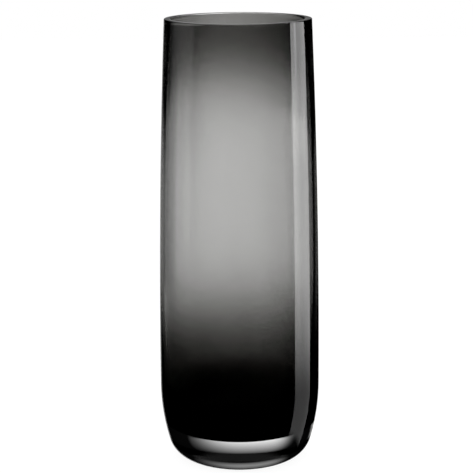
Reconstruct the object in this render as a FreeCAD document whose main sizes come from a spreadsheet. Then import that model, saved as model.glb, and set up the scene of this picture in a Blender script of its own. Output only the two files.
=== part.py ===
import FreeCAD, Part
import math
import os
import Sketcher

# Mouth-blown cylinder vase in cased glass: a clear outer casing with a thick clear base,
# and a smoke-grey lining fused to the inside of it. Every shape is turned about the Z axis.
# The vase stands on the XY plane. Millimetres throughout.

SIZES = {
    "height": 310.0,
    "mouth_radius": 50.3,
    # the vase is widest low down, at the belly
    "belly_radius": 56.2,
    "belly_height": 53.0,
    # below the belly: a long flank, then a tight heel down to the ground foot
    "flank_radius": 145.0,
    "heel_radius": 17.9,
    "foot_radius": 37.4,
    # shallow concave punt inside the foot ring
    "punt_radius": 30.0,
    "punt_depth": 1.5,
    # clear layer: side wall, and base thickness on the axis
    "casing_wall": 2.8,
    "casing_base": 20.0,
    "lining_heel": 13.0,
    "lining_crown": 190.0,
    # smoke layer: thick at the rim, thin over the waist, thick towards the bottom
    "lining_rim": 1.95,
    "lining_waist": 0.37,
    "waist_top": 232.0,
    "waist_bottom": 145.0,
    "lining_low": 2.4,
    "low_height": 62.0,
    "lining_base": 5.0,
    "floor_corner": 19.0,
    "floor_crown": 160.0,
    # flat ground and polished lip, with its two edges lightly rounded
    "lip_outer": 0.6,
    "lip_inner": 0.6,
}

START, END, CENTRE = 1, 2, 3
ORIGIN_POINT = (-1, 1)
V_AXIS = -2


def make_sheet(doc):
    sheet = doc.addObject("Spreadsheet::Sheet", "Sizes")
    for row, (alias, value) in enumerate(SIZES.items(), start=1):
        sheet.set(f"A{row}", alias)
        sheet.set(f"B{row}", str(value))
        sheet.setAlias(f"B{row}", alias)
    doc.recompute()
    return sheet


def point(r, z):
    return FreeCAD.Vector(r, z, 0)


def meeting_centre(centre_a, reach_a, centre_b, reach_b, side=1):
    """Point at given distances from two centres, on the outer (+1) or inner (-1) side."""
    between = centre_b - centre_a
    gap = between.Length
    along = (reach_a ** 2 - reach_b ** 2 + gap ** 2) / (2 * gap)
    across = math.sqrt(reach_a ** 2 - along ** 2)
    unit = between / gap
    return centre_a + unit * along + point(-unit.y, unit.x) * across * side


def centre_through(touch, normal, passing):
    """Centre of the circle tangent at touch (inward unit normal) that passes another point."""
    chord = passing - touch
    return touch + normal * (chord.Length ** 2 / (2 * chord.dot(normal)))


def barrel_centre(radius_low, radius_high, low, high):
    """Centre, level with low, of the arc upright at low and reaching radius_high at high."""
    return centre_through(point(radius_low, low), point(-1, 0), point(radius_high, high))


class Outline:
    """A sketch of tangent arcs, each driven by expressions on the sheet's cells."""

    def __init__(self, body, name):
        self.sketch = body.newObject("Sketcher::SketchObject", name)
        planes = {feature.Role: feature for feature in body.Origin.OriginFeatures}
        self.sketch.AttachmentSupport = (planes["XZ_Plane"], "")
        self.sketch.MapMode = "FlatFace"

    def line(self, start, end):
        return self.sketch.addGeometry(Part.LineSegment(start, end), False)

    def arc(self, centre, start, end):
        """Add the shorter arc between two points; returns the element and its two end names."""
        circle = Part.Circle(centre, FreeCAD.Vector(0, 0, 1), (start - centre).Length)
        first = math.atan2(start.y - centre.y, start.x - centre.x)
        last = math.atan2(end.y - centre.y, end.x - centre.x)
        if (last - first) % (2 * math.pi) < math.pi:
            return self.sketch.addGeometry(Part.ArcOfCircle(circle, first, last), False), START, END
        return self.sketch.addGeometry(Part.ArcOfCircle(circle, last, first), False), END, START

    def add(self, *values):
        return self.sketch.addConstraint(Sketcher.Constraint(*values))

    def drive(self, kind, *values, by):
        """Add a dimension, with its present value last in values, and bind it to the sheet."""
        index = self.add(kind, *values)
        self.sketch.setExpression(f"Constraints[{index}]", by)

    def at(self, element, end, r=None, z=None, by_r=None, by_z=None):
        """Hold a point's radius, height or both."""
        if by_r:
            self.drive("DistanceX", *ORIGIN_POINT, element, end, r, by=by_r)
        if by_z:
            self.drive("DistanceY", *ORIGIN_POINT, element, end, z, by=by_z)

    def join(self, one, one_end, other, other_end, smooth=False):
        self.add("Tangent" if smooth else "Coincident", one, one_end, other, other_end)

    def on_axis(self, element, end):
        self.add("PointOnObject", element, end, V_AXIS)


def turned(body, outline):
    """Turn the outline a full circle about the Z axis."""
    revolution = body.newObject("PartDesign::Revolution", body.Name + "_turned")
    revolution.Profile = outline.sketch
    revolution.ReferenceAxis = (outline.sketch, ["V_Axis"])
    revolution.Angle = 360.0
    outline.sketch.Visibility = False
    return revolution


def softened_lip(body, base, radius, alias):
    """Round the circular edge of the given radius at the mouth."""
    body.Document.recompute()
    names = [
        f"Edge{number}"
        for number, edge in enumerate(base.Shape.Edges, start=1)
        if abs(edge.BoundBox.ZMin - SIZES["height"]) < 1e-6 and abs(edge.BoundBox.XMax - radius) < 1e-3
    ]
    lip = body.newObject("PartDesign::Fillet", body.Name + "_lip")
    lip.Base = (base, names)
    lip.Radius = SIZES[alias]
    lip.setExpression("Radius", f"Sizes.{alias}")
    return lip


def add_inner_casing_line(outline):
    """The fused face between the two layers, from the mouth down to the axis."""
    s = SIZES
    wall = s["casing_wall"]
    belly = point(s["belly_radius"] - wall, s["belly_height"])
    mouth = point(s["mouth_radius"] - wall, s["height"])
    upper_centre = barrel_centre(belly.x, mouth.x, belly.y, mouth.y)
    flank_centre = point(s["belly_radius"] - s["flank_radius"], s["belly_height"])
    flank_reach = s["flank_radius"] - wall
    crown_centre = point(0, s["casing_base"] + s["lining_crown"])
    heel = s["lining_heel"]
    heel_centre = meeting_centre(
        flank_centre, flank_reach - heel, crown_centre, s["lining_crown"] - heel, -1)
    flank_end = flank_centre + (heel_centre - flank_centre).normalize() * flank_reach
    crown_start = crown_centre + (heel_centre - crown_centre).normalize() * s["lining_crown"]
    low = point(0, s["casing_base"])

    upper = outline.arc(upper_centre, mouth, belly)
    flank = outline.arc(flank_centre, belly, flank_end)
    heel_arc = outline.arc(heel_centre, flank_end, crown_start)
    crown = outline.arc(crown_centre, crown_start, low)
    outline.at(upper[0], upper[1], mouth.x, mouth.y,
               "Sizes.mouth_radius - Sizes.casing_wall", "Sizes.height")
    outline.at(upper[0], upper[2], belly.x, belly.y,
               "Sizes.belly_radius - Sizes.casing_wall", "Sizes.belly_height")
    outline.at(upper[0], CENTRE, z=belly.y, by_z="Sizes.belly_height")
    outline.join(upper[0], upper[2], flank[0], flank[1])
    outline.at(flank[0], CENTRE, z=belly.y, by_z="Sizes.belly_height")
    outline.drive("Radius", flank[0], flank_reach, by="Sizes.flank_radius - Sizes.casing_wall")
    outline.join(flank[0], flank[2], heel_arc[0], heel_arc[1], smooth=True)
    outline.drive("Radius", heel_arc[0], heel, by="Sizes.lining_heel")
    outline.join(heel_arc[0], heel_arc[2], crown[0], crown[1], smooth=True)
    outline.on_axis(crown[0], CENTRE)
    outline.drive("Radius", crown[0], s["lining_crown"], by="Sizes.lining_crown")
    outline.on_axis(crown[0], crown[2])
    outline.at(crown[0], crown[2], z=low.y, by_z="Sizes.casing_base")
    return (upper[0], upper[1], mouth), (crown[0], crown[2], low)


def add_outer_line(outline):
    """The outside, from the mouth down over the belly, flank and heel, across foot and punt."""
    s = SIZES
    mouth = point(s["mouth_radius"], s["height"])
    belly = point(s["belly_radius"], s["belly_height"])
    foot = point(s["foot_radius"], 0)
    punt_edge = point(s["punt_radius"], 0)
    punt_top = point(0, s["punt_depth"])
    upper_centre = barrel_centre(belly.x, mouth.x, belly.y, mouth.y)
    flank_centre = point(s["belly_radius"] - s["flank_radius"], s["belly_height"])
    heel_centre = meeting_centre(
        flank_centre, s["flank_radius"] - s["heel_radius"], foot, s["heel_radius"], 1)
    flank_end = flank_centre + (heel_centre - flank_centre).normalize() * s["flank_radius"]
    punt_centre = centre_through(punt_top, point(0, -1), punt_edge)

    upper = outline.arc(upper_centre, mouth, belly)
    flank = outline.arc(flank_centre, belly, flank_end)
    heel = outline.arc(heel_centre, flank_end, foot)
    ring = outline.line(foot, punt_edge)
    punt = outline.arc(punt_centre, punt_edge, punt_top)
    outline.at(upper[0], upper[1], mouth.x, mouth.y, "Sizes.mouth_radius", "Sizes.height")
    outline.at(upper[0], upper[2], belly.x, belly.y, "Sizes.belly_radius", "Sizes.belly_height")
    outline.at(upper[0], CENTRE, z=belly.y, by_z="Sizes.belly_height")
    outline.join(upper[0], upper[2], flank[0], flank[1])
    outline.at(flank[0], CENTRE, z=belly.y, by_z="Sizes.belly_height")
    outline.drive("Radius", flank[0], s["flank_radius"], by="Sizes.flank_radius")
    outline.join(flank[0], flank[2], heel[0], heel[1], smooth=True)
    outline.drive("Radius", heel[0], s["heel_radius"], by="Sizes.heel_radius")
    outline.join(heel[0], heel[2], ring, START)
    outline.at(ring, START, foot.x, by_r="Sizes.foot_radius")
    outline.add("PointOnObject", ring, START, -1)
    outline.add("Horizontal", ring)
    outline.at(ring, END, punt_edge.x, by_r="Sizes.punt_radius")
    outline.join(ring, END, punt[0], punt[1])
    outline.on_axis(punt[0], CENTRE)
    outline.on_axis(punt[0], punt[2])
    outline.at(punt[0], punt[2], z=punt_top.y, by_z="Sizes.punt_depth")
    return (upper[0], upper[1], mouth), (punt[0], punt[2], punt_top)


def add_cavity_line(outline):
    """The inside face, from the mouth down the lining to the floor on the axis."""
    s = SIZES
    shell = s["casing_wall"] + s["lining_waist"]
    belly = point(s["belly_radius"] - shell, s["belly_height"])
    barrel = barrel_centre(belly.x, s["mouth_radius"] - shell, belly.y, s["height"])
    reach = belly.x - barrel.x

    def on_barrel(z):
        return point(barrel.x + math.sqrt(reach ** 2 - (z - barrel.y) ** 2), z)

    mouth = point(s["mouth_radius"] - s["casing_wall"] - s["lining_rim"], s["height"])
    top = on_barrel(s["waist_top"])
    bottom = on_barrel(s["waist_bottom"])
    low = point(on_barrel(s["low_height"]).x - s["lining_low"] + s["lining_waist"], s["low_height"])
    upper_centre = centre_through(top, (barrel - top).normalize(), mouth)
    lower_centre = centre_through(bottom, (barrel - bottom).normalize(), low)
    lower_reach = (low - lower_centre).Length
    floor = point(0, s["casing_base"] + s["lining_base"])
    crown_centre = point(0, floor.y + s["floor_crown"])
    corner = s["floor_corner"]
    corner_centre = meeting_centre(
        lower_centre, lower_reach - corner, crown_centre, s["floor_crown"] - corner, -1)
    lower_end = lower_centre + (corner_centre - lower_centre).normalize() * lower_reach
    crown_start = crown_centre + (corner_centre - crown_centre).normalize() * s["floor_crown"]

    upper = outline.arc(upper_centre, mouth, top)
    waist = outline.arc(barrel, top, bottom)
    lower = outline.arc(lower_centre, bottom, lower_end)
    low_mark = outline.sketch.addGeometry(Part.Point(low), True)
    corner_arc = outline.arc(corner_centre, lower_end, crown_start)
    crown = outline.arc(crown_centre, crown_start, floor)
    outline.at(upper[0], upper[1], mouth.x, mouth.y,
               "Sizes.mouth_radius - Sizes.casing_wall - Sizes.lining_rim", "Sizes.height")
    outline.join(upper[0], upper[2], waist[0], waist[1], smooth=True)
    outline.at(waist[0], waist[1], z=top.y, by_z="Sizes.waist_top")
    outline.at(waist[0], waist[2], z=bottom.y, by_z="Sizes.waist_bottom")
    outline.at(waist[0], CENTRE, z=barrel.y, by_z="Sizes.belly_height")
    rise = "(Sizes.height - Sizes.belly_height)"
    swell = "(Sizes.belly_radius - Sizes.mouth_radius)"
    reach_rule = f"({rise} * {rise} + {swell} * {swell}) / (2 * {swell})"
    sag_rule = f"(Sizes.low_height - Sizes.belly_height) ^ 2 / (2 * {reach_rule})"
    outline.drive("Radius", waist[0], reach, by=reach_rule)
    outline.at(waist[0], CENTRE, r=barrel.x,
               by_r=f"Sizes.belly_radius - Sizes.casing_wall - Sizes.lining_waist - {reach_rule}")
    outline.join(waist[0], waist[2], lower[0], lower[1], smooth=True)
    outline.add("PointOnObject", low_mark, START, lower[0])
    outline.at(low_mark, START, low.x, low.y,
               f"Sizes.belly_radius - Sizes.casing_wall - Sizes.lining_low - {sag_rule}", "Sizes.low_height")
    outline.join(lower[0], lower[2], corner_arc[0], corner_arc[1], smooth=True)
    outline.drive("Radius", corner_arc[0], corner, by="Sizes.floor_corner")
    outline.join(corner_arc[0], corner_arc[2], crown[0], crown[1], smooth=True)
    outline.on_axis(crown[0], CENTRE)
    outline.drive("Radius", crown[0], s["floor_crown"], by="Sizes.floor_crown")
    outline.on_axis(crown[0], crown[2])
    outline.at(crown[0], crown[2], z=floor.y, by_z="Sizes.casing_base + Sizes.lining_base")
    return (upper[0], upper[1], mouth), (crown[0], crown[2], floor)


def close_outline(outline, outside, inside):
    """Close two lines of arcs across the mouth and along the axis."""
    for (one, one_end, one_at), (other, other_end, other_at) in zip(outside, inside):
        bridge = outline.line(one_at, other_at)
        outline.join(one, one_end, bridge, START)
        outline.join(other, other_end, bridge, END)


def make_casing(doc):
    """Clear outer layer with its thick clear base, ground foot ring and shallow punt."""
    body = doc.addObject("PartDesign::Body", "Casing")
    body.Label = "clear_glass_casing"
    outline = Outline(body, "CasingOutline")
    close_outline(outline, add_outer_line(outline), add_inner_casing_line(outline))
    base = turned(body, outline)
    body.Tip = softened_lip(body, base, SIZES["mouth_radius"], "lip_outer")
    body.Placement = FreeCAD.Placement()
    return body


def make_lining(doc):
    """Smoke-grey inner layer, fused to the casing over its whole outer face."""
    body = doc.addObject("PartDesign::Body", "Lining")
    body.Label = "smoke_glass_lining"
    outline = Outline(body, "LiningOutline")
    close_outline(outline, add_inner_casing_line(outline), add_cavity_line(outline))
    base = turned(body, outline)
    mouth = SIZES["mouth_radius"] - SIZES["casing_wall"] - SIZES["lining_rim"]
    body.Tip = softened_lip(body, base, mouth, "lip_inner")
    body.Placement = FreeCAD.Placement()
    return body


def check(doc, bodies):
    for item in doc.Objects:
        if "Invalid" in item.State or "Error" in item.State:
            raise RuntimeError(f"{item.Label} failed: {item.State}")
    for item in doc.findObjects("Sketcher::SketchObject"):
        if item.solve() != 0:
            raise RuntimeError(f"{item.Label} can't be solved")
    for body in bodies:
        shape = body.Shape
        if shape.isNull() or not shape.isValid() or len(shape.Solids) != 1:
            raise RuntimeError(f"{body.Label} isn't one valid solid")
    shared = bodies[0].Shape.common(bodies[1].Shape).Volume
    if shared > 1.0:
        raise RuntimeError(f"the two layers overlap by {shared:.2f} mm3")


def main():
    doc = FreeCAD.newDocument("CylinderVase")
    make_sheet(doc)
    bodies = [make_casing(doc), make_lining(doc)]
    doc.recompute()
    check(doc, bodies)
    os.makedirs("parts", exist_ok=True)
    for body in bodies:
        body.Shape.exportStep(f"parts/{body.Label}.step")
        box = body.Shape.BoundBox
        print(f"{body.Label}: {body.Shape.Volume / 1000:.1f} cm3, z {box.ZMin:.2f} to {box.ZMax:.2f}")


main()
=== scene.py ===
import math
import bpy
from mathutils import Euler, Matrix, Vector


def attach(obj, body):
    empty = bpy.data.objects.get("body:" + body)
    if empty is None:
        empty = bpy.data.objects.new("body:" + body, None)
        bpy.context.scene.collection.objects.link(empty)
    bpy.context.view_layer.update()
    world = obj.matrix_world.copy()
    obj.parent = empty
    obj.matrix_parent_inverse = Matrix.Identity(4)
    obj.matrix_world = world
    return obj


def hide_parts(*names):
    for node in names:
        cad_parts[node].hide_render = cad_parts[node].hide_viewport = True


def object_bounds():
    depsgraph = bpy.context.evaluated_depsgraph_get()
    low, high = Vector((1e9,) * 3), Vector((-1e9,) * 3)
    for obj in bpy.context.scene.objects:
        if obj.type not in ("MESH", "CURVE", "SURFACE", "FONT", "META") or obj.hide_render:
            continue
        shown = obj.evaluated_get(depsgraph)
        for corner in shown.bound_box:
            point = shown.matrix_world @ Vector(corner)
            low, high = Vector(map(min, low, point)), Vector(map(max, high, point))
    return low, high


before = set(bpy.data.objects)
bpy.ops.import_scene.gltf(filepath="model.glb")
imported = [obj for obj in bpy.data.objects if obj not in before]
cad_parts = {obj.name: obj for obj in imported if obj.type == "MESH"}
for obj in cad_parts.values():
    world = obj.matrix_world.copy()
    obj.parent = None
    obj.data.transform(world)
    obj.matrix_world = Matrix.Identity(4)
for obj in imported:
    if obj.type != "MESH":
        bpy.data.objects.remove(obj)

# A mouth-blown cylinder vase: clear glass cased over a smoke-grey lining.
# Both pieces are closed meshes turned from outlines of (radius, height). Metres throughout.

MM = 0.001
CAD_LOW, CAD_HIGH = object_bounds()

# Outside shape. The height and the belly's radius come from the CAD frame; the foot stands on z = 0.
HEIGHT = CAD_HIGH.z
BELLY_RADIUS = CAD_HIGH.x
MOUTH_RADIUS = 50.3 * MM
BELLY_HEIGHT = 53.0 * MM
FLANK_RADIUS = 145.0 * MM
FLANK_CENTRE = (BELLY_RADIUS - FLANK_RADIUS, BELLY_HEIGHT)
HEEL_RADIUS = 17.9 * MM
FOOT_RADIUS = 37.4 * MM
FOOT_STOPS = (0.1, 0.5, 0.9)
PUNT_RADIUS = 30.0 * MM
PUNT_DEPTH = 1.5 * MM

# Layers of the wall
CASING_WALL = 2.8 * MM
CASING_BASE = 20.0 * MM
LINING_CROWN = 190.0 * MM
LINING_HEEL_START = 34.0 * MM
LINING_BASE = 5.0 * MM
ARRIS = 0.6 * MM
LIP_START = HEIGHT - ARRIS
FUSED_EDGE = 40.0 * MM
FUSED_HANDLES = (0.6, 0.6)

# Smoke lining: thinnest over the waist, growing towards the rim and steadily towards the bottom.
# The inside is set off the axis, so the lining is a little thicker on the right.
WAIST_THICKNESS = 0.395 * MM
RIM_GAIN = 1.34 * MM
RIM_REACH = 37.5 * MM
RIM_POWER = 1.8
LOW_SLOPE = 0.042
LOW_START = 110.0 * MM
LOW_BLEND = 14.0 * MM
LEAN = 0.15
LEAN_LOW = 0.02
LEAN_START = 60.0 * MM
LEAN_FULL = 110.0 * MM
CAVITY_TURN = 60.0 * MM
FLOOR_CROWN = 160.0 * MM
FLOOR_EDGE = 31.0 * MM
FLOOR_HANDLES = (0.55, 0.62)
SKIN = 0.02 * MM

# How finely each stretch of an outline is drawn
SEGMENTS = 256
PUNT_STEPS = 14
HEEL_STEPS = 36
FLANK_STEPS = 20
BARREL_STEPS = 70
ARRIS_STEPS = 6
CROWN_STEPS = 16
CAVITY_STEPS = 90
CAVITY_TURN_STEPS = 24
FUSED_STEPS = 100
FUSED_TURN_STEPS = 20

# Glass
GLASS_IOR = 1.52
RIPPLE_SCALE = 40.0
RIPPLE_STRETCH = 6.0
RIPPLE_HEIGHT = 0.00001
STREAK_SCALE = 60.0
STREAK_STRETCH = 8.0
STREAK_LOW = 0.35
STREAK_HIGH = 0.65
STREAK_DARKEST = 0.985
SMOKE_DENSITY = 1000.0
SMOKE_COLOUR = (0.1, 0.095, 0.075)


# ---------------------------------------------------------------- outlines

def spaced(start, end, count):
    return [start + (end - start) * i / count for i in range(count + 1)]


def arc(centre, radius, start, end, count):
    """Points (r, z) on an arc; the angles are in radians from the +r direction."""
    turns = spaced(start, end, count)
    return [(centre[0] + radius * math.cos(a), centre[1] + radius * math.sin(a)) for a in turns]


def bezier(p0, p1, p2, p3, count):
    """Points on a cubic curve from p0 to p3."""
    corners = (p0, p1, p2, p3)
    points = []
    for i in range(count + 1):
        t = i / count
        weights = ((1 - t) ** 3, 3 * t * (1 - t) ** 2, 3 * t * t * (1 - t), t ** 3)
        points.append(tuple(sum(w * p[k] for w, p in zip(weights, corners)) for k in (0, 1)))
    return points


def barrel_reach():
    """Radius of the long upright arc from the belly to the mouth."""
    rise = HEIGHT - BELLY_HEIGHT
    swell = BELLY_RADIUS - MOUTH_RADIUS
    return (rise * rise + swell * swell) / (2 * swell)


def outer_radius(z):
    """Outside radius of the barrel and flank at a height."""
    reach = barrel_reach() if z > BELLY_HEIGHT else FLANK_RADIUS
    return BELLY_RADIUS - reach + math.sqrt(reach * reach - (z - BELLY_HEIGHT) ** 2)


def lining_thickness(z):
    """Thickness of the smoke layer at a height on the wall."""
    rim = RIM_GAIN * math.exp(-(abs(HEIGHT - z) / RIM_REACH) ** RIM_POWER)
    low = LOW_SLOPE * LOW_BLEND * math.log(1 + math.exp((LOW_START - z) / LOW_BLEND))
    return WAIST_THICKNESS + rim + low


def cavity_radius(z):
    return outer_radius(z) - CASING_WALL - lining_thickness(z)


def heel_centre():
    """Centre of the heel arc: it is tangent to the flank inside and ends on the foot's edge."""
    reach = FLANK_RADIUS - HEEL_RADIUS
    gap_r = FOOT_RADIUS - FLANK_CENTRE[0]
    gap_z = -FLANK_CENTRE[1]
    gap = math.hypot(gap_r, gap_z)
    along = (reach ** 2 - HEEL_RADIUS ** 2 + gap ** 2) / (2 * gap)
    across = math.sqrt(reach ** 2 - along ** 2)
    centre_r = FLANK_CENTRE[0] + (gap_r * along - gap_z * across) / gap
    centre_z = FLANK_CENTRE[1] + (gap_z * along + gap_r * across) / gap
    return (centre_r, centre_z)


def outside_line():
    """From the punt's middle out over the foot, heel and flank and up the barrel to the lip."""
    heel = heel_centre()
    turn = math.atan2(heel[1] - FLANK_CENTRE[1], heel[0] - FLANK_CENTRE[0])
    foot_turn = math.atan2(-heel[1], FOOT_RADIUS - heel[0])
    punt_reach = (PUNT_RADIUS ** 2 + PUNT_DEPTH ** 2) / (2 * PUNT_DEPTH)
    punt_end = math.pi / 2 - math.asin(PUNT_RADIUS / punt_reach)
    line = arc((0, PUNT_DEPTH - punt_reach), punt_reach, math.pi / 2, punt_end, PUNT_STEPS)
    line += [(PUNT_RADIUS + (FOOT_RADIUS - PUNT_RADIUS) * stop, 0.0) for stop in FOOT_STOPS]
    line += arc(heel, HEEL_RADIUS, foot_turn, turn, HEEL_STEPS)
    line += arc(FLANK_CENTRE, FLANK_RADIUS, turn, 0.0, FLANK_STEPS)[1:]
    line += [(outer_radius(z), z) for z in spaced(BELLY_HEIGHT, LIP_START, BARREL_STEPS)[1:]]
    return line + lip_line()


def lip_line():
    """Ground and polished lip: flat, with a small round on each arris."""
    outer = (outer_radius(LIP_START) - ARRIS, LIP_START)
    inner = (cavity_radius(LIP_START) + ARRIS, LIP_START)
    outer_arris = arc(outer, ARRIS, 0.0, math.pi / 2, ARRIS_STEPS)[1:]
    inner_arris = arc(inner, ARRIS, math.pi / 2, math.pi, ARRIS_STEPS)[:-1]
    return outer_arris + inner_arris


def crown(low, reach, edge):
    """A shallow bowl from radius edge in to the axis, low at the axis."""
    angle = math.asin(edge / reach)
    return arc((0, low + reach), reach, angle - math.pi / 2, -math.pi / 2, CROWN_STEPS)


def turn_in(wall, bowl, slope, handles, count):
    """Join the foot of a wall to the edge of a bowl with one curve, tangent to both."""
    end = wall[-1]
    before = wall[-2]
    edge = bowl[0]
    fall = (end[0] - before[0]) / (before[1] - end[1])
    drop = (end[1] - edge[1]) * handles[0]
    reach = (end[0] - edge[0]) * handles[1]
    wall_handle = (end[0] + fall * drop, end[1] - drop)
    bowl_handle = (edge[0] + reach, edge[1] + reach * slope)
    return wall + bezier(end, wall_handle, bowl_handle, edge, count)[1:] + bowl[1:]


def cavity_line(inset):
    """From under the lip down the inside and in across the floor, moved into the glass by inset."""
    heights = spaced(LIP_START, CAVITY_TURN, CAVITY_STEPS)
    wall = [(cavity_radius(z) + inset, z) for z in heights]
    floor = crown(CASING_BASE + LINING_BASE - inset, FLOOR_CROWN, FLOOR_EDGE)
    slope = math.tan(math.asin(FLOOR_EDGE / FLOOR_CROWN))
    return turn_in(wall, floor, slope, FLOOR_HANDLES, CAVITY_TURN_STEPS)


def fused_line():
    """The face between the layers, from under the lip down the casing and in across its base."""
    heights = spaced(LIP_START, LINING_HEEL_START, FUSED_STEPS)
    wall = [(outer_radius(z) - CASING_WALL, z) for z in heights]
    base = crown(CASING_BASE, LINING_CROWN, FUSED_EDGE)
    slope = math.tan(math.asin(FUSED_EDGE / LINING_CROWN))
    return turn_in(wall, base, slope, FUSED_HANDLES, FUSED_TURN_STEPS)


# ---------------------------------------------------------------- meshes

def leaning(line):
    """The inside is set off the axis, in proportion to the smoke layer, so the layer is uneven."""
    offsets = []
    for r, z in line:
        share = min(max((z - LEAN_START) / (LEAN_FULL - LEAN_START), 0.0), 1.0)
        lean = LEAN_LOW + (LEAN - LEAN_LOW) * share * share * (3 - 2 * share)
        offsets.append((r, z, -lean * lining_thickness(max(z, CAVITY_TURN))))
    return offsets


def upright(line):
    return [(r, z, 0.0) for r, z in line]


def turned(name, outline):
    """Turn an outline of (radius, height, offset in x) from pole to pole into one closed smooth mesh."""
    rings = outline[1:-1]
    vertices = [(outline[0][2], 0.0, outline[0][1])]
    for r, z, offset in rings:
        for k in range(SEGMENTS):
            a = 2 * math.pi * k / SEGMENTS
            vertices.append((offset + r * math.cos(a), r * math.sin(a), z))
    vertices.append((outline[-1][2], 0.0, outline[-1][1]))
    last = len(vertices) - 1
    top = len(rings) - 1

    def index(ring, k):
        return 1 + ring * SEGMENTS + k % SEGMENTS

    faces = [(0, index(0, k + 1), index(0, k)) for k in range(SEGMENTS)]
    for ring in range(top):
        for k in range(SEGMENTS):
            lower = (index(ring, k), index(ring, k + 1))
            upper = (index(ring + 1, k + 1), index(ring + 1, k))
            faces.append(lower + upper)
    faces += [(last, index(top, k), index(top, k + 1)) for k in range(SEGMENTS)]
    mesh = bpy.data.meshes.new(name)
    mesh.from_pydata(vertices, [], faces)
    mesh.update()
    mesh.shade_smooth()
    piece = bpy.data.objects.new(name, mesh)
    bpy.context.scene.collection.objects.link(piece)
    return piece


# ---------------------------------------------------------------- node helpers

WHITE = (1.0, 1.0, 1.0, 1.0)


class Graph:
    """Builds shader maths in one node tree."""

    def __init__(self, tree):
        self.nodes = tree.nodes
        self.links = tree.links

    def math(self, operation, *values):
        node = self.nodes.new("ShaderNodeMath")
        node.operation = operation
        for socket, value in zip(node.inputs, values):
            if isinstance(value, (int, float)):
                socket.default_value = value
            else:
                self.links.new(value, socket)
        return node.outputs[0]

    def fold(self, operation, first, *others):
        for other in others:
            first = self.math(operation, first, other)
        return first

    def times(self, *values):
        return self.fold("MULTIPLY", *values)

    def plus(self, *values):
        return self.fold("ADD", *values)

    def minus(self, first, second):
        return self.math("SUBTRACT", first, second)

    def highest(self, *values):
        return self.fold("MAXIMUM", *values)

    def map_range(self, value, low, high, low_out, high_out, interpolation="LINEAR"):
        node = self.nodes.new("ShaderNodeMapRange")
        node.interpolation_type = interpolation
        node.inputs["From Min"].default_value = low
        node.inputs["From Max"].default_value = high
        node.inputs["To Min"].default_value = low_out
        node.inputs["To Max"].default_value = high_out
        self.links.new(value, node.inputs["Value"])
        return node.outputs["Result"]

    def ramp(self, value, low, high, low_out=0.0, high_out=1.0):
        """A soft step from low_out at low to high_out at high."""
        return self.map_range(value, low, high, low_out, high_out, "SMOOTHSTEP")

    def window(self, value, low, low_full, high_full, high):
        """1 between the two full edges, falling softly to 0 at the two others."""
        return self.times(self.ramp(value, low, low_full), self.ramp(value, high, high_full))

    def bell(self, value, width, power):
        """1 up to zero, then falling off over the width."""
        reach = self.math("DIVIDE", self.highest(value, 0.0), width)
        return self.math("EXPONENT", self.times(self.math("POWER", reach, power), -1.0))

    def upright_noise(self, scale, stretch, detail):
        """Noise in the object's own space, drawn out upright by dividing its height."""
        place_node = self.nodes.new("ShaderNodeTexCoord")
        mapping = self.nodes.new("ShaderNodeMapping")
        mapping.inputs["Scale"].default_value = (1.0, 1.0, 1.0 / stretch)
        noise = self.nodes.new("ShaderNodeTexNoise")
        noise.inputs["Scale"].default_value = scale
        noise.inputs["Detail"].default_value = detail
        self.links.new(place_node.outputs["Object"], mapping.inputs["Vector"])
        self.links.new(mapping.outputs["Vector"], noise.inputs["Vector"])
        return noise.outputs["Fac"]


# ---------------------------------------------------------------- materials

def new_material(name):
    material = bpy.data.materials.new(name)
    material.use_nodes = True
    return material, Graph(material.node_tree), material.node_tree.nodes["Principled BSDF"]


def clear_glass():
    """Clear cased glass with the faint upright ripple of blowing."""
    material, graph, shader = new_material("clear_glass")
    bump = graph.nodes.new("ShaderNodeBump")
    bump.inputs["Strength"].default_value = 1.0
    bump.inputs["Distance"].default_value = RIPPLE_HEIGHT
    ripple = graph.upright_noise(RIPPLE_SCALE, RIPPLE_STRETCH, 0.0)
    graph.links.new(ripple, bump.inputs["Height"])
    graph.links.new(bump.outputs["Normal"], shader.inputs["Normal"])
    shader.inputs["Transmission Weight"].default_value = 1.0
    shader.inputs["Roughness"].default_value = 0.0
    shader.inputs["IOR"].default_value = GLASS_IOR
    shader.inputs["Base Color"].default_value = WHITE
    return material


def smoke_glass():
    """Smoke-grey glass inside the clear glass. It doesn't bend light: it absorbs, with faint streaks."""
    material, graph, shader = new_material("smoke_glass")
    shader.inputs["Transmission Weight"].default_value = 1.0
    shader.inputs["Roughness"].default_value = 0.0
    shader.inputs["IOR"].default_value = 1.0
    streaks = graph.upright_noise(STREAK_SCALE, STREAK_STRETCH, 1.0)
    tint = graph.map_range(streaks, STREAK_LOW, STREAK_HIGH, STREAK_DARKEST, 1.0)
    graph.links.new(tint, shader.inputs["Base Color"])
    absorb = graph.nodes.new("ShaderNodeVolumeAbsorption")
    absorb.inputs["Color"].default_value = (*SMOKE_COLOUR, 1.0)
    absorb.inputs["Density"].default_value = SMOKE_DENSITY
    graph.links.new(absorb.outputs["Volume"], graph.nodes["Material Output"].inputs["Volume"])
    return material


def place(piece, material, node):
    piece.data.materials.append(material)
    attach(piece, "root")
    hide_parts(node)


def make_vase():
    clear = turned("clear_glass_body", upright(outside_line()) + leaning(cavity_line(0.0)))
    place(clear, clear_glass(), "clear_glass_casing")
    smoke = turned("smoke_glass_layer", upright(fused_line()[::-1]) + leaning(cavity_line(SKIN)))
    place(smoke, smoke_glass(), "smoke_glass_lining")


# ---------------------------------------------------------------- studio
# The light is fitted to the photo and is not one physical room. Angles are in degrees: azimuth 0
# is straight behind the vase with + to the right, and elevation 0 is level. Four values for a
# window are start, full, full, end. A ramp has start and end, and after them its two levels.

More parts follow.
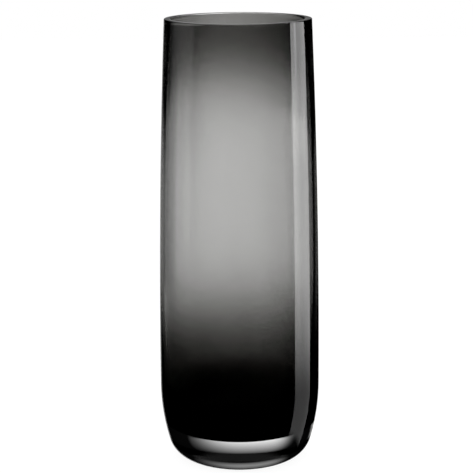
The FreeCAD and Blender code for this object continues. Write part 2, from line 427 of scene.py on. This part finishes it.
# Backdrop below the horizon: a wide glow with a brighter spot, fading upwards
FADE_START = -2.0
FADE_WIDTH = 12.8
FADE_POWER = 1.15
SPOT_WIDTH = 6.4
SPOT_POWER = 2.0
SPOT_GAIN = 0.38
SPOT_FLOOR = 0.62
LEFT_EDGE = (-48.0, -18.0)
LEFT_NARROWING = (-10.5, -4.0, 0.0, 22.0)
LEFT_DIP = (-1.0, -4.5)
LEFT_DIP_HEIGHT = (-11.0, -8.0, 0.0, 0.14)
RIGHT_EDGE = (36.0, 2.0)
RIGHT_NARROW_EDGE = (36.0, 20.0)
RIGHT_NARROWING = (-10.0, -7.0, 0.0, 20.0)

# Backdrop above the horizon, centred a little to the left
GLOW_CENTRE = -5.5
GLOW_LEFT = (23.0, 5.0)
GLOW_RIGHT = (24.5, 2.6)
GLOW_CUT = (35.0, 30.0)
GLOW_HEIGHT = (13.3, 1.0)
GLOW_GAIN = 0.82
HORIZON = (-3.2, -1.0)

# Softboxes: tall and bright on the right with a brighter core, wide and weak on the left
RIGHT_BOX = (56.8, 58.2, 92.5, 93.5)
RIGHT_BOX_HEIGHT = (-18.5, -14.5, 0.5, 2.4)
RIGHT_BOX_FOOT = (-36.0, -32.0)
RIGHT_BOX_EDGE = (74.0, 88.0, 1.0, 1.3)
RIGHT_BOX_TOP = (-10.0, -5.0, 1.0, 1.25)
CORE = (80.0, 81.5, 84.5, 86.5)
CORE_HEIGHT = (-6.0, -1.0, 0.0, 1.8)
LEFT_BOX = (-110.0, -109.0, -75.0, -50.0)
LEFT_BOX_HEIGHT = (-14.0, -8.0, 0.0, 0.3)
BOX_END = (52.0, 42.0)

# How much of the softboxes is left for rays that pass through the glass
THROUGH_END = (2.0, -3.0)
THROUGH_HEIGHT = (-9.0, -5.0, 0.42, 1.0)

# Panels that light the other sides, seen only through the glass
LOW_PANEL = (-84.0, -70.0, -38.0, -28.0)
LOW_PANEL_HEIGHT = (-55.0, -42.0, -17.0, -13.0)
SIDE_PANEL = (-118.0, -98.0, -76.0, -61.0)
SIDE_PANEL_HEIGHT = (-30.0, -18.0, 8.0, 18.0)
REAR_PANEL = (95.0, 118.0, 152.0, 172.0)
REAR_PANEL_HEIGHT = (-45.0, -36.0, -4.0, 6.0)
FACING_PANEL = (135.0, 165.0, 0.0, 0.3)
TABLE_HEIGHT = (-36.0, -50.0, 0.0, 0.3)
# Painted shade: the table straight below the vase fades to a tenth of its light, standing in for the
# vase's shadow on it
TABLE_PAINTED_SHADE = (-76.0, -58.0, 0.1, 1.0)
LEAST_LIGHT = 0.002

# Seen only as reflections: the table at the front and sides, and the backdrop behind the vase
FRONT_TABLE = (55.0, 85.0)
FRONT_TABLE_HEIGHT = (-44.0, -50.0, 0.0, 0.2)
MIRRORED_SPOT = (-26.0, -9.0, 4.0, 14.0)
MIRRORED_SPOT_FOOT = (-45.0, -30.0)
MIRRORED_SPOT_TOP = (1.0, 4.5, 1.0, 0.34)


def directions(graph):
    """Azimuth, azimuth without its sign, and elevation of a ray."""
    place_node = graph.nodes.new("ShaderNodeTexCoord")
    split = graph.nodes.new("ShaderNodeSeparateXYZ")
    graph.links.new(place_node.outputs["Generated"], split.inputs[0])
    to_degrees = 180 / math.pi
    azimuth = graph.times(graph.math("ARCTAN2", split.outputs["X"], split.outputs["Y"]), to_degrees)
    elevation = graph.times(graph.math("ARCSINE", split.outputs["Z"]), to_degrees)
    return azimuth, graph.math("ABSOLUTE", azimuth), elevation


def backdrop_light(graph, azimuth, elevation, spot):
    left = graph.minus(azimuth, graph.ramp(elevation, *LEFT_NARROWING))
    right = graph.plus(azimuth, graph.ramp(elevation, *RIGHT_NARROWING))
    left_side = graph.ramp(left, *LEFT_EDGE)
    right_side = graph.times(graph.ramp(right, *RIGHT_NARROW_EDGE), graph.ramp(azimuth, *RIGHT_EDGE))
    dip = graph.times(graph.ramp(azimuth, *LEFT_DIP), graph.ramp(elevation, *LEFT_DIP_HEIGHT))
    lower = graph.times(left_side, right_side, graph.minus(1.0, dip), spot)
    left_glow = graph.bell(graph.minus(GLOW_CENTRE, azimuth), *GLOW_LEFT)
    right_glow = graph.bell(graph.minus(azimuth, GLOW_CENTRE), *GLOW_RIGHT)
    across = graph.times(left_glow, right_glow, graph.ramp(azimuth, *GLOW_CUT))
    upper = graph.times(across, graph.bell(elevation, *GLOW_HEIGHT), GLOW_GAIN)
    horizon = graph.ramp(elevation, *HORIZON)
    return graph.plus(graph.times(lower, graph.minus(1.0, horizon)), graph.times(upper, horizon))


def softbox_light(graph, azimuth, elevation):
    level = graph.times(graph.ramp(elevation, *RIGHT_BOX_HEIGHT), graph.ramp(elevation, *RIGHT_BOX_FOOT))
    gain = graph.times(graph.ramp(azimuth, *RIGHT_BOX_EDGE), graph.ramp(elevation, *RIGHT_BOX_TOP))
    right = graph.times(graph.window(azimuth, *RIGHT_BOX), level, gain)
    core = graph.times(graph.window(azimuth, *CORE), graph.ramp(elevation, *CORE_HEIGHT))
    left = graph.times(graph.window(azimuth, *LEFT_BOX), graph.ramp(elevation, *LEFT_BOX_HEIGHT))
    return graph.times(graph.plus(right, core, left), graph.ramp(elevation, *BOX_END))


def panel_light(graph, azimuth, turn, elevation, painted_table_shade):
    low = graph.times(graph.window(azimuth, *LOW_PANEL), graph.window(elevation, *LOW_PANEL_HEIGHT))
    side = graph.times(graph.window(azimuth, *SIDE_PANEL), graph.window(elevation, *SIDE_PANEL_HEIGHT))
    rear = graph.highest(graph.window(azimuth, *REAR_PANEL), graph.ramp(turn, *FACING_PANEL))
    rear = graph.times(rear, graph.window(elevation, *REAR_PANEL_HEIGHT))
    # The table seen through the glass carries painted shade straight below the vase
    table = graph.times(graph.ramp(elevation, *TABLE_HEIGHT), painted_table_shade)
    return graph.highest(low, side, rear, table, LEAST_LIGHT)


def mirrored_light(graph, azimuth, turn, elevation, spot, painted_table_shade):
    """What only reflections see, besides the softboxes."""
    front = graph.ramp(turn, *FRONT_TABLE)
    front = graph.times(front, graph.ramp(elevation, *FRONT_TABLE_HEIGHT), painted_table_shade)
    foot = graph.ramp(elevation, *MIRRORED_SPOT_FOOT)
    level = graph.times(foot, graph.ramp(elevation, *MIRRORED_SPOT_TOP))
    return graph.plus(graph.times(graph.window(azimuth, *MIRRORED_SPOT), spot, level), front)


def ray_strength(graph, mirrored, through):
    """White for camera and diffuse rays; reflected rays and rays through the glass see their own."""
    path = graph.nodes.new("ShaderNodeLightPath")
    direct = graph.plus(path.outputs["Is Camera Ray"], path.outputs["Is Diffuse Ray"])
    passing = path.outputs["Is Transmission Ray"]
    bounced = graph.times(path.outputs["Is Glossy Ray"], graph.minus(1.0, passing))
    fitted = graph.plus(graph.times(bounced, mirrored), graph.times(passing, through))
    return graph.plus(graph.math("MINIMUM", direct, 1.0), fitted)


def make_world():
    world = bpy.data.worlds.new("studio")
    bpy.context.scene.world = world
    world.use_nodes = True
    world.node_tree.nodes.clear()
    graph = Graph(world.node_tree)
    azimuth, turn, elevation = directions(graph)
    fade = graph.bell(graph.minus(elevation, FADE_START), FADE_WIDTH, FADE_POWER)
    glow = graph.bell(turn, SPOT_WIDTH, SPOT_POWER)
    spot = graph.times(graph.plus(graph.times(glow, SPOT_GAIN), SPOT_FLOOR), fade)
    # Painted shade under the vase: the table dims for rays heading steeply down, seen through the foot
    # and in reflections
    painted_table_shade = graph.ramp(elevation, *TABLE_PAINTED_SHADE)
    boxes = softbox_light(graph, azimuth, elevation)
    share = graph.times(graph.ramp(elevation, *THROUGH_END), graph.ramp(elevation, *THROUGH_HEIGHT))
    behind = graph.plus(backdrop_light(graph, azimuth, elevation, spot), graph.times(boxes, share))
    through = graph.highest(behind, panel_light(graph, azimuth, turn, elevation, painted_table_shade))
    mirrored = graph.plus(mirrored_light(graph, azimuth, turn, elevation, spot, painted_table_shade), boxes)

    background = graph.nodes.new("ShaderNodeBackground")
    background.inputs["Color"].default_value = WHITE
    graph.links.new(ray_strength(graph, mirrored, through), background.inputs["Strength"])
    output = graph.nodes.new("ShaderNodeOutputWorld")
    graph.links.new(background.outputs[0], output.inputs["Surface"])
    world.cycles.sampling_method = "NONE"


# The floor lies just under the vase and is hidden from reflections and from rays through the glass
FLOOR_HALF = 3.0
FLOOR_HEIGHT = -0.2 * MM
FLOOR_GLOW = 0.93
FLOOR_TONES = (0.13, 0.15)
FLOOR_GRAIN = 180.0


def make_floor():
    mesh = bpy.data.meshes.new("floor")
    corners = ((-1, -1), (1, -1), (1, 1), (-1, 1))
    vertices = [(x * FLOOR_HALF, y * FLOOR_HALF, FLOOR_HEIGHT) for x, y in corners]
    mesh.from_pydata(vertices, [], [(0, 1, 2, 3)])
    floor = bpy.data.objects.new("floor", mesh)
    bpy.context.scene.collection.objects.link(floor)
    material, graph, shader = new_material("floor_paper")
    grain = graph.nodes.new("ShaderNodeTexNoise")
    grain.inputs["Scale"].default_value = FLOOR_GRAIN
    tone = graph.map_range(grain.outputs["Fac"], 0.0, 1.0, *FLOOR_TONES)
    graph.links.new(tone, shader.inputs["Base Color"])
    shader.inputs["Roughness"].default_value = 1.0
    shader.inputs["Specular IOR Level"].default_value = 0.0
    shader.inputs["Emission Color"].default_value = WHITE
    shader.inputs["Emission Strength"].default_value = FLOOR_GLOW
    mesh.materials.append(material)
    floor.visible_transmission = False
    floor.visible_glossy = False


# Camera at the photo's angle: metres, degrees, and the lens in millimetres
CAMERA_DISTANCE = 1.085
CAMERA_HEIGHT = 0.4028
CAMERA_PITCH = 12.70
CAMERA_YAW = 0.092
CAMERA_ROLL = -0.323
CAMERA_LENS = 121.2


def make_camera():
    camera = bpy.data.objects.new("camera", bpy.data.cameras.new("camera"))
    bpy.context.scene.collection.objects.link(camera)
    camera.data.lens = CAMERA_LENS
    camera.location = (0.0, -CAMERA_DISTANCE, CAMERA_HEIGHT)
    aim = Euler((math.radians(90 - CAMERA_PITCH), 0, math.radians(CAMERA_YAW)), "XYZ")
    roll = Euler((0, 0, math.radians(CAMERA_ROLL)), "XYZ")
    camera.rotation_euler = (aim.to_matrix() @ roll.to_matrix()).to_euler("XYZ")
    bpy.context.scene.camera = camera


# Light crosses many glass faces, so paths are allowed to be long
GLASS_BOUNCES = 40
GLOSSY_BOUNCES = 20


def set_up_view():
    scene = bpy.context.scene
    scene.view_settings.view_transform = "Standard"
    scene.view_settings.look = "None"
    scene.cycles.max_bounces = GLASS_BOUNCES
    scene.cycles.transmission_bounces = GLASS_BOUNCES
    scene.cycles.glossy_bounces = GLOSSY_BOUNCES
    scene.cycles.transparent_max_bounces = GLASS_BOUNCES


make_vase()
make_world()
make_floor()
make_camera()
set_up_view()
